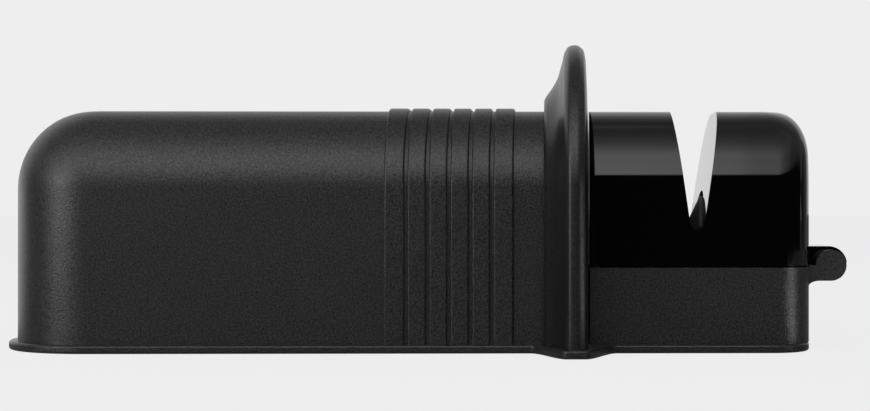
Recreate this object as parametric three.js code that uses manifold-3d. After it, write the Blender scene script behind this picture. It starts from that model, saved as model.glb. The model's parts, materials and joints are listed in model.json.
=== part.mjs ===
// Axe and knife sharpener: a hollow handle with grip ribs, a flared hand guard, a foot plate,
// and a head whose hinged lid has a V slot over two bevelled grinding wheels.
// Millimetres, +Z up. X = 0 is the guard's face on the head's side, the handle's nose is at
// minus X, Y = 0 is the plane of symmetry, and Z = 0 is the surface that the part stands on.
// The finished group is shifted so that its origin is the centre of the footprint.
import * as THREE from 'three';
import { mergeVertices } from 'three/addons/utils/BufferGeometryUtils.js';
import Module from 'manifold-3d';

const wasm = await Module();
wasm.setup();

// Body section, shared by handle and head
const bodyHalfWidth = 16;
const bodyTop = 47.8;
const crownHalfWidth = 4.6;
const shoulderHeight = 15.5;
const wall = 2;
const seatGap = 0.3;
const partClearance = 0.15;
const overrun = 1;

// Handle
const handleStraight = 97.5;
const noseLength = 18;
const noseTopInset = 14.6;
const noseShoulderHeight = 15.8;
const bossRadius = 3.2;
const noseScrewInset = 2.5;
const neckScrewInset = 7;

// Grip ribs, from the nose side to the guard side
const ribProud = 0.6;
const ribEdge = 0.35;
const ribMargin = 5.9; // bare handle between the last rib and the guard
const endRibWidth = 3.9;
const ribWidth = 3.5;
const ribGap = 0.68;
const ribCount = 6;

// Foot plate
const plateThickness = 1.7;
const plateProud = 1;
const noseProud = 1.75;
const plateRound = 0.5;
const guardFootProud = 0.9;
const guardFootLead = 2.7;
const guardFootRun = 7.2;
const guardFootTail = 0.8;
const guardFootEndRun = 6.4;
const lipHeight = 3;
const lipThickness = 1.2;

// Hand guard
const guardDepth = 8.7;
const guardRise = 13.4;
const guardSideRise = 11.6;
const guardWeb = 3;
const guardScrewInset = 5.6;

// Head base
const headLength = 43.87;
const headCornerRadius = 7;
const headBaseTop = 16.65;
const deckTop = 9;
const deckThickness = 1.8;
const bossMargin = 1;
const tipCover = 1.6;
const smallBossLift = 1.3;

// Hinge
const hingeLift = 0.2;
const pinRadius = 1.25;
const pinClearance = 0.1;
const earRadius = 3.1;
const earInner = 7;
const earThickness = 2.5;
const earArmDrop = 4.2;
const blindWall = 0.8;
const hookRadius = 3.75;
const hookRoom = 0.73;
const hookTipAngle = 8;
const hookHeelAngle = 235;
const hookArmRun = 0.8;

// Lid
const lidEndInset = 5.4;
const lidEndShoulder = 9;
const slotCentreX = 21.3;
const slotFloor = 24.1;
const slotFloorRadius = 1.45;
const slotFlare = 0.145;
const slotWall = 1.6;
const windowRoom = 1.1;
const tongueHalfWidth = 5;
const tongueDepthShare = 0.6; // how deep the tongue reaches into the tray
const tongueThickness = 1.2;
const tongueClearance = 0.7;
const cornerDrawShare = 0.4; // how much of its radius an upright corner loses up to the crown
const lidStartRadius = 1.1;
const lidInnerRadius = 0.1;
const startDrawShare = 0.8;

// Grinding wheels, carrier and axle
const wheelRadius = 9;
const wheelWidth = 4.3;
const wheelBevelDepth = 4.8;
const crownOffset = 2.8;
const crownWidth = 0.9;
const crownDropShare = 0.2;
const outerBevelDepth = 2;
const wheelShift = 0.5; // the pair sits this much nearer the guard than the slot's middle
const wheelFloorRoom = 1.8;
const axleRadius = 1.5;
const axleSkew = THREE.MathUtils.degToRad(-6);
const washerThickness = 0.6;
const washerRadius = 3.2;
const cheekThickness = 2;
const cheekHalfWidth = 4.5;
const carrierBaseThickness = 2;
const carrierHalfWidth = 6;
const carrierScrewRoom = 0.35;
const carrierEndRoom = 0.5;
const clipThickness = 0.6;
const clipRadius = 2.9;
const clipMouthHalfWidth = 0.9;
const grooveDepth = 0.45;
const axleTail = 0.8;

// Screws
const screwRadius = 1.25;
const screwHeadRadius = 2.2;
const screwHeadHeight = 0.8;
const screwRecess = 0.2;
const screwLength = 8;
const tipRoom = 0.5;
const holeClearance = 0.12;
const headClearance = 0.3;
const driveDepth = 0.45;
const driveRadius = 0.9;
const smallScrewRadius = 0.9;
const smallScrewHeadRadius = 1.7;
const smallScrewHeadHeight = 1.1;

// How finely round shapes are stepped, and how near two corners must be to be one
const shoulderSteps = 9;
const noseSteps = 24;
const cornerSteps = 6;
const startCornerSteps = 4;
const flareSteps = 7; // odd, so that no three corners of a flank lie in one line
const roundSteps = 2;
const circleSteps = 32;
const wheelSteps = 48;
const smallCircleSteps = 16;
const weld = 1e-5;

const headStartX = seatGap;
const headEndX = headStartX + headLength;
const lidBottom = headBaseTop + seatGap;
const hingeX = headEndX + hookRadius + hookRoom;
const hingeHeight = headBaseTop + hingeLift;
const bearingRadius = pinRadius + pinClearance;
const blindDepth = earThickness - blindWall;

// Stations along the axle, from the middle outwards
const wheelStart = partClearance;
const wheelEnd = wheelStart + wheelWidth;
const washerStart = wheelEnd + partClearance;
const cheekStart = washerStart + washerThickness + partClearance;
const cheekEnd = cheekStart + cheekThickness;
const grooveStart = cheekEnd + partClearance;
const grooveEnd = grooveStart + clipThickness + 2 * partClearance;
const axleEnd = grooveEnd + axleTail;
const axleBore = axleRadius + pinClearance;
const carrierScrewOffset = cheekEnd + smallScrewHeadRadius + carrierScrewRoom;
const carrierHalfLength = carrierScrewOffset + smallScrewHeadRadius + carrierEndRoom;

// Where the pair of wheels stands, and the round window that the lid leaves about it
const wheelCentreX = slotCentreX - wheelShift;
const axleHeight = deckTop + carrierBaseThickness + wheelFloorRoom + wheelRadius;
const windowRadius = wheelRadius + windowRoom;
const windowHalfLength = wheelEnd + windowRoom;

function cut(from, ...tools) {
  return tools.reduce((solid, tool) => solid.subtract(tool), from);
}

function join(first, ...others) {
  return others.reduce((solid, other) => solid.add(other), first);
}

// A closed three.js geometry, whichever way its faces turn, as a solid that can be cut and joined
function solidOf(geometry) {
  geometry.deleteAttribute('normal');
  geometry.deleteAttribute('uv');
  const merged = mergeVertices(geometry, weld);
  const corner = (i) => new THREE.Vector3().fromBufferAttribute(merged.attributes.position, i);
  const triangles = Array.from(merged.index.array);
  let volume = 0;
  for (let i = 0; i < triangles.length; i += 3) {
    const [a, b, c] = triangles.slice(i, i + 3).map(corner);
    volume += a.dot(b.cross(c));
  }
  return new wasm.Manifold(new wasm.Mesh({
    numProp: 3,
    vertProperties: new Float32Array(merged.attributes.position.array),
    triVerts: new Uint32Array(volume > 0 ? triangles : triangles.reverse()),
  }));
}

function geometryOf(solid) {
  const { vertProperties, triVerts } = solid.getMesh();
  const geometry = new THREE.BufferGeometry();
  geometry.setAttribute('position', new THREE.BufferAttribute(vertProperties, 3));
  geometry.setIndex(new THREE.BufferAttribute(triVerts, 1));
  return geometry;
}

// Triangles that fill a flat ring, wound the same way round as the ring
function capFaces(ring) {
  const turn = Math.sign(THREE.ShapeUtils.area(ring));
  return THREE.ShapeUtils.triangulateShape(ring, []).map(([a, b, c]) => {
    const own = Math.sign(THREE.ShapeUtils.area([ring[a], ring[b], ring[c]]));
    return own === turn ? [a, b, c] : [c, b, a];
  });
}

// A closed skin through rings of points that all have the same count, with a flat cap at each end.
// The rings lie in planes across the given axis.
function loft(rings, axis) {
  const count = rings[0].length;
  const flat = (point) => (axis === 'z' ? new THREE.Vector2(point.x, point.y) : new THREE.Vector2(point.y, point.z));
  const faces = [];
  for (let level = 0; level + 1 < rings.length; level += 1) {
    for (let i = 0; i < count; i += 1) {
      const next = (i + 1) % count;
      const low = level * count;
      const high = low + count;
      faces.push([low + i, low + next, high + next], [low + i, high + next, high + i]);
    }
  }
  const last = (rings.length - 1) * count;
  capFaces(rings[0].map(flat)).forEach(([a, b, c]) => faces.push([c, b, a]));
  capFaces(rings[rings.length - 1].map(flat)).forEach(([a, b, c]) => faces.push([last + a, last + b, last + c]));
  const geometry = new THREE.BufferGeometry().setFromPoints(rings.flat());
  geometry.setIndex(faces.flat());
  return solidOf(geometry);
}

// A flat outline given as [across, up] points, thickened along Y from one place to another
function alongY(outline, from, to) {
  const shape = new THREE.Shape(outline.map(([x, z]) => new THREE.Vector2(x, z)));
  const geometry = new THREE.ExtrudeGeometry(shape, { depth: to - from, bevelEnabled: false });
  geometry.rotateX(Math.PI / 2);
  geometry.translate(0, to, 0);
  return solidOf(geometry);
}

// A flat outline given as [x, y] points, raised along Z
function alongZ(outline, from, to) {
  const shape = new THREE.Shape(outline.map(([x, y]) => new THREE.Vector2(x, y)));
  const geometry = new THREE.ExtrudeGeometry(shape, { depth: to - from, bevelEnabled: false });
  geometry.translate(0, 0, from);
  return solidOf(geometry);
}

function block(low, high) {
  const size = high.map((value, i) => value - low[i]);
  const geometry = new THREE.BoxGeometry(...size);
  geometry.translate(...low.map((value, i) => value + size[i] / 2));
  return solidOf(geometry);
}

function postZ(radius, x, y, from, to, steps = smallCircleSteps) {
  const geometry = new THREE.CylinderGeometry(radius, radius, to - from, steps);
  geometry.rotateX(Math.PI / 2);
  geometry.translate(x, y, (from + to) / 2);
  return solidOf(geometry);
}

function postY(radius, x, z, from, to, steps = circleSteps) {
  const geometry = new THREE.CylinderGeometry(radius, radius, to - from, steps);
  geometry.translate(x, (from + to) / 2, z);
  return solidOf(geometry);
}

// A profile of [along, radius] points turned about the X axis
function turnedX(profile, steps = circleSteps) {
  const points = profile.map(([along, radius]) => new THREE.Vector2(radius, along));
  const geometry = new THREE.LatheGeometry(points, steps);
  geometry.rotateZ(-Math.PI / 2);
  return solidOf(geometry);
}

// How far a round shoulder has drawn in at a height
function roundInset(z, top, height, depth) {
  const share = THREE.MathUtils.clamp((z - top + height) / height, 0, 1);
  return depth * (1 - Math.sqrt(1 - share * share));
}

// Heights from a straight foot up through a round shoulder
function shoulderHeights(bottom, top, height) {
  const heights = [bottom];
  for (let i = 0; i <= shoulderSteps; i += 1) {
    heights.push(top - height + height * Math.sin((i / shoulderSteps) * (Math.PI / 2)));
  }
  return heights;
}

// Handle: its plan at every height is two straight sides and half an ellipse for the nose.
// The shrink is the wall thickness for the inner face.
function handleForm(shrink, bottom, endX) {
  const top = bodyTop - shrink;
  const sideDepth = bodyHalfWidth - crownHalfWidth - shrink;
  return loft(shoulderHeights(bottom, top, noseShoulderHeight - shrink).map((z) => {
    const halfWidth = bodyHalfWidth - shrink - roundInset(z, top, shoulderHeight - shrink, sideDepth);
    const reach = noseLength - shrink - roundInset(z, top, noseShoulderHeight - shrink, noseTopInset - shrink);
    return noseOutline(halfWidth, reach, endX).map(([x, y]) => new THREE.Vector3(x, y, z));
  }), 'z');
}

function noseOutline(halfWidth, reach, endX) {
  const outline = [[endX, halfWidth]];
  for (let i = 0; i <= noseSteps; i += 1) {
    const angle = Math.PI / 2 + (i / noseSteps) * Math.PI;
    outline.push([-handleStraight + reach * Math.cos(angle), halfWidth * Math.sin(angle)]);
  }
  outline.push([endX, -halfWidth]);
  return outline;
}

// Upright section across the body, grown by one amount at the sides and another at the top
function sectionRing(x, sideGrow, topGrow, bottom) {
  const points = [new THREE.Vector3(x, -bodyHalfWidth - sideGrow, bottom)];
  const depth = bodyHalfWidth - crownHalfWidth + sideGrow;
  const height = shoulderHeight + topGrow;
  const foot = bodyTop - shoulderHeight;
  for (let i = 0; i <= shoulderSteps; i += 1) {
    const angle = (i / shoulderSteps) * (Math.PI / 2);
    const y = -crownHalfWidth - depth * Math.cos(angle);
    points.push(new THREE.Vector3(x, y, foot + height * Math.sin(angle)));
  }
  const mirrored = points.map((point) => new THREE.Vector3(point.x, -point.y, point.z)).reverse();
  return [...points, ...mirrored];
}

function gripRib(startX, width) {
  const profile = [
    [startX, ribProud - ribEdge],
    [startX + ribEdge, ribProud],
    [startX + width - ribEdge, ribProud],
    [startX + width, ribProud - ribEdge],
  ];
  const skin = loft(profile.map(([x, grow]) => sectionRing(x, grow, grow, plateThickness)), 'x');
  const core = loft([startX - overrun, startX + width + overrun].map(
    (x) => sectionRing(x, -wall / 2, -wall / 2, plateThickness - overrun),
  ), 'x');
  return cut(skin, core);
}

function ribPlaces() {
  const places = [];
  const run = 2 * endRibWidth + (ribCount - 2) * ribWidth + (ribCount - 1) * ribGap;
  let x = -guardDepth - ribMargin - run;
  for (let i = 0; i < ribCount; i += 1) {
    const width = i === 0 || i === ribCount - 1 ? endRibWidth : ribWidth;
    places.push([x, width]);
    x += width + ribGap;
  }
  return places;
}

const noseScrewX = noseScrewInset - handleStraight;
const neckScrewX = -guardDepth - neckScrewInset;
const handleScrewPlaces = [[noseScrewX, 0], [(noseScrewX + neckScrewX) / 2, 0], [neckScrewX, 0]];
const screwHoleRadius = screwRadius + holeClearance;
const screwSeat = screwRecess + screwHeadHeight;
const screwTip = screwSeat + screwLength;
const headScrewTip = deckTop - tipCover;

function handleShell() {
  const neckEnd = -guardWeb - seatGap;
  const outside = handleForm(0, plateThickness, neckEnd);
  const inside = handleForm(wall, plateThickness - overrun, neckEnd + overrun);
  const hollow = cut(outside, inside);
  const ribs = ribPlaces().map(([x, width]) => gripRib(x, width));
  const bosses = handleScrewPlaces.map(([x, y]) => postZ(bossRadius, x, y, plateThickness, bodyTop - wall / 2));
  const holes = handleScrewPlaces.map(
    ([x, y]) => postZ(screwHoleRadius, x, y, plateThickness - overrun, screwTip + tipRoom),
  );
  return cut(join(hollow, ...ribs, ...bosses), ...holes);
}

// Guard profile along X as shares of its depth, with the rise above the body as a share of the whole rise
const guardProfileShares = [
  [-1, 0.17], [-0.946, 0.235], [-0.876, 0.295], [-0.812, 0.356], [-0.754, 0.417], [-0.707, 0.478],
  [-0.67, 0.538], [-0.617, 0.66], [-0.57, 0.781], [-0.552, 0.842], [-0.518, 0.903], [-0.458, 0.964],
  [-0.39, 0.989], [-0.3, 1], [-0.23, 0.994], [-0.158, 0.965], [-0.088, 0.912], [-0.048, 0.791],
  [-0.02, 0.4], [0, 0],
];

const guardScrewPlaces = [-1, 1].map((side) => [
  -guardWeb,
  side * (bodyHalfWidth + guardSideRise - guardScrewInset),
]);

function handGuard() {
  const outside = loft(guardProfileShares.map(
    ([along, rise]) => sectionRing(along * guardDepth, rise * guardSideRise, rise * guardRise, plateThickness),
  ), 'x');
  const bore = loft([-guardDepth - overrun, -guardWeb].map(
    (x) => sectionRing(x, seatGap, seatGap, plateThickness - overrun),
  ), 'x');
  const holes = guardScrewPlaces.map(
    ([x, y]) => postZ(screwHoleRadius, x, y, plateThickness - overrun, screwTip + tipRoom),
  );
  return cut(outside, bore, ...holes);
}

// Foot plate: the guard's foot swells out in two smooth flanks
function plateOutline(inset) {
  const halfWidth = bodyHalfWidth + plateProud - inset;
  const footHalfWidth = bodyHalfWidth + guardSideRise + guardFootProud - inset;
  const nose = noseOutline(halfWidth, noseLength + noseProud - inset, -guardDepth - guardFootLead);
  const [back, front] = [nose[0], nose[nose.length - 1]];
  const flank = (fromX, toX, fromY, toY) => {
    const points = [];
    for (let i = 0; i <= flareSteps; i += 1) {
      const along = i / flareSteps;
      const rise = along * along * (3 - 2 * along);
      points.push([fromX + (toX - fromX) * along, fromY + (toY - fromY) * rise]);
    }
    return points;
  };
  const frontSide = [
    ...flank(front[0], front[0] + guardFootRun, -halfWidth, -footHalfWidth),
    ...flank(-guardFootTail, guardFootEndRun - guardFootTail, -footHalfWidth, -halfWidth),
    ...cornerPoints(headEndX - inset, -1, halfWidth, headCornerRadius + plateProud - inset),
  ];
  const backSide = frontSide.map(([x, y]) => [x, -y]).reverse();
  return [back, ...nose.slice(1, -1), ...frontSide, ...backSide.slice(0, -1)];
}

// A quarter round at the head's far end, on the front or the back side
function cornerPoints(endX, side, halfWidth, radius) {
  const points = [];
  for (let i = 0; i <= cornerSteps; i += 1) {
    const angle = (i / cornerSteps) * (Math.PI / 2);
    points.push([endX - radius + radius * Math.sin(angle), side * (halfWidth - radius + radius * Math.cos(angle))]);
  }
  return points;
}

// A small quarter round at the lid's end by the guard, from the side wall to the end wall
function startCorner(startX, side, halfWidth, radius) {
  const points = [];
  for (let i = 0; i <= startCornerSteps; i += 1) {
    const angle = (i / startCornerSteps) * (Math.PI / 2);
    points.push([startX + radius - radius * Math.sin(angle), side * (halfWidth - radius + radius * Math.cos(angle))]);
  }
  return points;
}

function headOutline(inset) {
  const halfWidth = bodyHalfWidth - inset;
  const front = cornerPoints(headEndX - inset, -1, halfWidth, headCornerRadius - inset);
  const back = cornerPoints(headEndX - inset, 1, halfWidth, headCornerRadius - inset).reverse();
  return [[headStartX + inset, halfWidth], [headStartX + inset, -halfWidth], ...front, ...back];
}

const headScrewInset = wall + bossRadius + bossMargin;
const headScrewPlaces = [[headStartX + headScrewInset, 0], [headEndX - headScrewInset, 0]];
const baseScrewPlaces = [...handleScrewPlaces, ...guardScrewPlaces, ...headScrewPlaces];

function basePlate() {
  const rings = [];
  for (let i = 0; i <= roundSteps; i += 1) {
    const angle = (i / roundSteps) * (Math.PI / 2);
    rings.push([plateRound * (1 - Math.sin(angle)), plateRound * (1 - Math.cos(angle))]);
  }
  const upper = rings.map(([inset, z]) => [inset, plateThickness - z]).reverse();
  const slab = loft([...rings, ...upper].map(
    ([inset, z]) => plateOutline(inset).map(([x, y]) => new THREE.Vector3(x, y, z)),
  ), 'z');
  const lipInset = wall + seatGap;
  const lipEnd = -guardDepth - wall;
  const lipOutline = (inset) => noseOutline(bodyHalfWidth - inset, noseLength - inset, lipEnd);
  const lipCoreOutline = noseOutline(
    bodyHalfWidth - lipInset - lipThickness,
    noseLength - lipInset - lipThickness,
    lipEnd - lipThickness,
  );
  const lip = cut(
    alongZ(lipOutline(lipInset), plateThickness / 2, plateThickness + lipHeight),
    alongZ(lipCoreOutline, 0, plateThickness + lipHeight + overrun),
  );
  const holes = baseScrewPlaces.flatMap(([x, y]) => [
    postZ(screwHoleRadius, x, y, -overrun, plateThickness + overrun),
    postZ(screwHeadRadius + headClearance, x, y, -overrun, screwSeat),
  ]);
  return cut(join(slab, lip), ...holes);
}

function baseScrew([x, y], tip) {
  const head = postZ(screwHeadRadius, x, y, screwRecess, screwSeat);
  const shank = postZ(screwRadius, x, y, screwSeat - screwHeadHeight / 2, tip);
  const drive = postZ(driveRadius, x, y, -overrun, screwRecess + driveDepth, cornerSteps);
  return cut(join(head, shank), drive);
}

// The carrier's two screws, in the plan of the turned fork
const carrierScrewPlaces = [-1, 1].map((side) => [
  wheelCentreX + side * carrierScrewOffset * Math.cos(axleSkew),
  side * carrierScrewOffset * Math.sin(axleSkew),
]);

const smallHoleRadius = smallScrewRadius + holeClearance;
const smallScrewSeat = deckTop + carrierBaseThickness;
const smallBossBottom = plateThickness + smallBossLift;
const smallScrewTip = smallBossBottom + wall;

function headBase() {
  const outside = alongZ(headOutline(0), plateThickness, headBaseTop);
  const tray = alongZ(headOutline(wall), deckTop, headBaseTop + overrun);
  const underside = alongZ(headOutline(wall), plateThickness - overrun, deckTop - deckThickness);
  const ears = [-1, 1].map((side) => hingeEar(side));
  const bosses = headScrewPlaces.map(([x, y]) => postZ(bossRadius, x, y, plateThickness, deckTop - deckThickness / 2));
  const smallBosses = carrierScrewPlaces.map(
    ([x, y]) => postZ(smallHoleRadius + wall / 2, x, y, smallBossBottom, deckTop - deckThickness / 2),
  );
  const holes = headScrewPlaces.map(
    ([x, y]) => postZ(screwHoleRadius, x, y, plateThickness - overrun, headScrewTip + tipRoom),
  );
  const smallHoles = carrierScrewPlaces.map(
    ([x, y]) => postZ(smallHoleRadius, x, y, smallScrewTip - tipRoom, deckTop + overrun),
  );
  const pinBore = postY(bearingRadius, hingeX, hingeHeight, -earInner - blindDepth, earInner + earThickness + overrun);
  return cut(join(cut(outside, tray, underside), ...ears, ...bosses, ...smallBosses), ...holes, ...smallHoles, pinBore);
}

// One of the two ears that hold the hinge pin: a disc on a short arm
function hingeEar(side) {
  const from = side > 0 ? earInner : -earInner - earThickness;
  const to = from + earThickness;
  const rootX = headEndX - wall / 2;
  const disc = postY(earRadius, hingeX, hingeHeight, from, to);
  const arm = alongY([
    [rootX, hingeHeight - earArmDrop],
    [hingeX - earRadius, hingeHeight - earArmDrop],
    [hingeX, hingeHeight - earRadius],
    [hingeX, hingeHeight],
    [headEndX, hingeHeight],
    [headEndX, headBaseTop],
    [rootX, headBaseTop],
  ], from, to);
  return join(arm, disc);
}

function hingePin() {
  return postY(
    pinRadius,
    hingeX,
    hingeHeight,
    -earInner - blindDepth + pinClearance,
    earInner + earThickness,
  );
}

// Lid: its plan at every height has small corners by the guard and two wide ones at the far end
function lidForm(shrink, bottom) {
  const top = bodyTop - shrink;
  const sideDepth = bodyHalfWidth - crownHalfWidth - shrink;
  return loft(shoulderHeights(bottom, top, shoulderHeight - shrink).map((z) => {
    const halfWidth = bodyHalfWidth - shrink - roundInset(z, top, shoulderHeight - shrink, sideDepth);
    const endX = headEndX - shrink - roundInset(z, top, lidEndShoulder - shrink, lidEndInset - shrink);
    const draw = (bodyHalfWidth - shrink - halfWidth) / sideDepth;
    const radius = (headCornerRadius - shrink) * (1 - draw * cornerDrawShare);
    const front = cornerPoints(endX, -1, halfWidth, radius);
    const back = cornerPoints(endX, 1, halfWidth, radius).reverse();
    const startRadius = Math.max(lidStartRadius - shrink, lidInnerRadius) * (1 - draw * startDrawShare);
    const startBack = startCorner(headStartX + shrink, 1, halfWidth, startRadius);
    const startFront = startCorner(headStartX + shrink, -1, halfWidth, startRadius).reverse();
    const outline = [...startBack, ...startFront, ...front, ...back];
    return outline.map(([x, y]) => new THREE.Vector3(x, y, z));
  }), 'z');
}

function slotHalfWidth(z) {
  return slotFloorRadius + slotFlare * (z - slotFloor - slotFloorRadius);
}

// The V of the slot, or its walls when grown by their thickness
function slotOutline(grow, top) {
  const centreZ = slotFloor + slotFloorRadius;
  const radius = slotFloorRadius + grow;
  const outline = [[slotCentreX + slotHalfWidth(top) + grow, top], [slotCentreX - slotHalfWidth(top) - grow, top]];
  for (let i = 0; i <= cornerSteps * 2; i += 1) {
    const angle = Math.PI + (i / (cornerSteps * 2)) * Math.PI;
    outline.push([slotCentreX + radius * Math.cos(angle), centreZ + radius * Math.sin(angle)]);
  }
  return outline;
}

// Round clearance about the axle, which opens the slot's walls for the wheels
function wheelWindow() {
  const geometry = new THREE.CylinderGeometry(windowRadius, windowRadius, 2 * windowHalfLength, circleSteps);
  geometry.rotateZ(Math.PI / 2 + axleSkew);
  geometry.translate(wheelCentreX, 0, axleHeight);
  return solidOf(geometry);
}

function headCover() {
  const outside = lidForm(0, lidBottom);
  const inside = lidForm(wall, lidBottom - overrun);
  const slotWalls = alongY(slotOutline(slotWall, bodyTop + overrun), -bodyHalfWidth, bodyHalfWidth).intersect(outside);
  const slot = alongY(slotOutline(0, bodyTop + overrun), -bodyHalfWidth - overrun, bodyHalfWidth + overrun);
  const tongueX = headStartX + wall + tongueClearance;
  const tongueLength = (headBaseTop - deckTop) * tongueDepthShare;
  const tongue = block(
    [tongueX, -tongueHalfWidth, lidBottom - tongueLength],
    [tongueX + tongueThickness, tongueHalfWidth, lidBottom + tongueLength],
  );
  const tongueRoot = block(
    [headStartX + wall / 2, -tongueHalfWidth, lidBottom + wall / 2],
    [tongueX + tongueThickness / 2, tongueHalfWidth, lidBottom + tongueLength],
  );
  return join(cut(join(cut(outside, inside), slotWalls), slot, wheelWindow()), tongue, tongueRoot, lidHook());
}

// Hook at the lid's far end: it wraps more than half way round the pin, so that it snaps on
function lidHook() {
  const halfWidth = earInner - seatGap;
  const outline = [];
  const arc = (radius, from, to) => {
    for (let i = 0; i <= circleSteps / 2; i += 1) {
      const angle = THREE.MathUtils.degToRad(from + ((to - from) * i) / (circleSteps / 2));
      outline.push([hingeX + radius * Math.cos(angle), hingeHeight + radius * Math.sin(angle)]);
    }
  };
  arc(hookRadius, hookTipAngle, hookHeelAngle);
  arc(bearingRadius, hookHeelAngle, hookTipAngle);
  const hook = alongY(outline, -halfWidth, halfWidth);
  const arm = block(
    [headEndX - wall / 2, -halfWidth, hingeHeight],
    [hingeX - bearingRadius - hookArmRun, halfWidth, hingeHeight + hookRadius],
  );
  const roof = block(
    [headEndX - wall / 2, -halfWidth, hingeHeight + bearingRadius + hookArmRun],
    [hingeX, halfWidth, hingeHeight + hookRadius],
  );
  return join(hook, arm, roof);
}

// What runs on the axle is built along X about the axle's own centre, and turned by the skew later
function grindingWheel(side) {
  return turnedX([
    [wheelStart, axleBore],
    [wheelStart, wheelRadius - wheelBevelDepth],
    [crownOffset - crownWidth / 2, wheelRadius - crownWidth * crownDropShare],
    [crownOffset, wheelRadius],
    [crownOffset + crownWidth / 2, wheelRadius - crownWidth * crownDropShare],
    [wheelEnd, wheelRadius - outerBevelDepth],
    [wheelEnd, axleBore],
    [wheelStart, axleBore],
  ].map(([along, radius]) => [side * along, radius]), wheelSteps);
}

function spacerWasher(side) {
  return turnedX([
    [washerStart, axleBore],
    [washerStart, washerRadius],
    [washerStart + washerThickness, washerRadius],
    [washerStart + washerThickness, axleBore],
    [washerStart, axleBore],
  ].map(([along, radius]) => [side * along, radius]));
}

function wheelAxle() {
  const half = [
    [grooveStart, axleRadius],
    [grooveStart, axleRadius - grooveDepth],
    [grooveEnd, axleRadius - grooveDepth],
    [grooveEnd, axleRadius],
    [axleEnd, axleRadius],
    [axleEnd, 0],
  ];
  const mirrored = half.map(([along, radius]) => [-along, radius]).reverse();
  return turnedX([...mirrored, ...half]);
}

// Retaining clip: a ring in the axle's groove with an open mouth
function axleClip(side) {
  const start = grooveStart + partClearance;
  const inner = axleRadius - grooveDepth + pinClearance;
  const ring = turnedX([
    [start, inner],
    [start, clipRadius],
    [start + clipThickness, clipRadius],
    [start + clipThickness, inner],
    [start, inner],
  ].map(([along, radius]) => [side * along, radius]));
  const mouth = block([-axleEnd, -clipMouthHalfWidth, 0], [axleEnd, clipMouthHalfWidth, clipRadius + overrun]);
  return cut(ring, mouth);
}

// Fork that stands on the deck: a base with two cheeks round the axle
function wheelCarrier() {
  const bottom = deckTop - axleHeight;
  const base = block(
    [-carrierHalfLength, -carrierHalfWidth, bottom],
    [carrierHalfLength, carrierHalfWidth, bottom + carrierBaseThickness],
  );
  const cheeks = [-1, 1].map((side) => {
    const from = Math.min(side * cheekStart, side * cheekEnd);
    const to = Math.max(side * cheekStart, side * cheekEnd);
    const upright = block([from, -cheekHalfWidth, bottom], [to, cheekHalfWidth, 0]);
    const head = turnedX([[from, 0], [from, cheekHalfWidth], [to, cheekHalfWidth], [to, 0]]);
    return join(upright, head);
  });
  const bore = turnedX([[-axleEnd, 0], [-axleEnd, axleBore], [axleEnd, axleBore], [axleEnd, 0]]);
  const holes = [-1, 1].map((side) => postZ(
    smallHoleRadius,
    side * carrierScrewOffset,
    0,
    bottom - overrun,
    bottom + carrierBaseThickness + overrun,
  ));
  return cut(join(base, ...cheeks), bore, ...holes);
}

function carrierScrew(side) {
  const x = side * carrierScrewOffset;
  const seat = smallScrewSeat - axleHeight;
  const head = postZ(smallScrewHeadRadius, x, 0, seat, seat + smallScrewHeadHeight);
  const shank = postZ(smallScrewRadius, x, 0, smallScrewTip - axleHeight, seat + smallScrewHeadHeight / 2);
  const drive = postZ(
    smallScrewHeadRadius / 2,
    x,
    0,
    seat + smallScrewHeadHeight - driveDepth,
    seat + smallScrewHeadHeight + overrun,
    cornerSteps,
  );
  return cut(join(head, shank), drive);
}

const materials = {
  textured: new THREE.MeshStandardMaterial({ color: 0x1d1d1e, roughness: 0.62, metalness: 0 }),
  satin: new THREE.MeshStandardMaterial({ color: 0x19191a, roughness: 0.48, metalness: 0 }),
  gloss: new THREE.MeshStandardMaterial({ color: 0x050506, roughness: 0.06, metalness: 0 }),
  nylon: new THREE.MeshStandardMaterial({ color: 0x2a2b2c, roughness: 0.55, metalness: 0 }),
  ceramic: new THREE.MeshStandardMaterial({ color: 0x3a3a3b, roughness: 0.8, metalness: 0 }),
  steel: new THREE.MeshStandardMaterial({ color: 0x9a9c9f, roughness: 0.3, metalness: 1 }),
};

function piece(name, solid, material) {
  const mesh = new THREE.Mesh(geometryOf(solid), material);
  mesh.name = name;
  return mesh;
}

const part = new THREE.Group();
const hookTipX = hingeX + hookRadius * Math.cos(THREE.MathUtils.degToRad(hookTipAngle));
const footMiddle = (hookTipX - handleStraight - noseLength - noseProud) / 2;
part.position.x = -footMiddle;

part.add(
  piece('handle_shell', handleShell(), materials.textured),
  piece('hand_guard', handGuard(), materials.satin),
  piece('base_plate', basePlate(), materials.textured),
  piece('head_base', headBase(), materials.textured),
  piece('head_cover', headCover(), materials.gloss),
  piece('hinge_pin', hingePin(), materials.steel),
);

const screwNames = [
  'nose_screw', 'middle_screw', 'neck_screw',
  'guard_screw_front', 'guard_screw_back',
  'head_screw_inner', 'head_screw_outer',
];
baseScrewPlaces.forEach((place, i) => {
  const tip = headScrewPlaces.includes(place) ? headScrewTip : screwTip;
  part.add(piece(screwNames[i], baseScrew(place, tip), materials.steel));
});

const running = new THREE.Group();
running.position.set(wheelCentreX, 0, axleHeight);
running.rotation.z = axleSkew;
running.add(
  piece('wheel_carrier', wheelCarrier(), materials.nylon),
  piece('wheel_axle', wheelAxle(), materials.steel),
);
for (const [side, word] of [[-1, 'left'], [1, 'right']]) {
  running.add(
    piece(`wheel_${word}`, grindingWheel(side), materials.ceramic),
    piece(`spacer_washer_${word}`, spacerWasher(side), materials.steel),
    piece(`axle_clip_${word}`, axleClip(side), materials.steel),
    piece(`carrier_screw_${word}`, carrierScrew(side), materials.steel),
  );
}
part.add(running);

export default part;
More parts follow.
